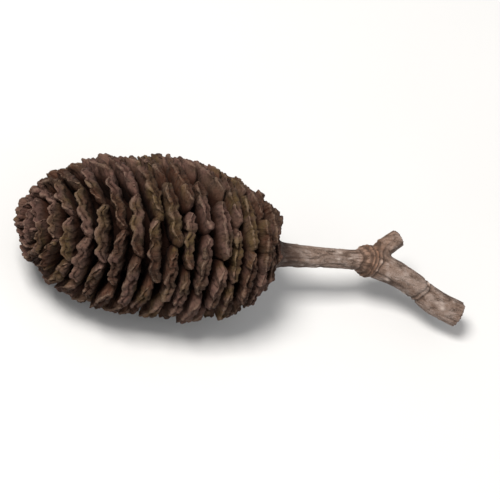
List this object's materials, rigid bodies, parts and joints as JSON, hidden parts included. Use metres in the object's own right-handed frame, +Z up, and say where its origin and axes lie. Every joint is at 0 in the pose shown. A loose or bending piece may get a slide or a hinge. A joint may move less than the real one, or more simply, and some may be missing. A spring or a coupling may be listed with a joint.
{
  "type": "alder cone",
  "caption": "Ripe woody alder cone lying on its side: crowded wavy-edged scales in spiral order round a woody axis, on a stalk with a knuckle and a piece of snapped twig.",
  "frame": {"origin": "bottom centre of the object's box, on the surface that the cone lies on", "axes": "+Z up; the stalk points towards +X and the cone's tip towards -X"},
  "size_m": [0.0598, 0.0194, 0.019],
  "materials": {
    "cone_scales": "dry, rough, weathered",
    "stem_bark": "dry bark, matt"
  },
  "bodies": {
    "root": {"cone": "cone_scales", "stem": "stem_bark"}
  },
  "joints": []
}
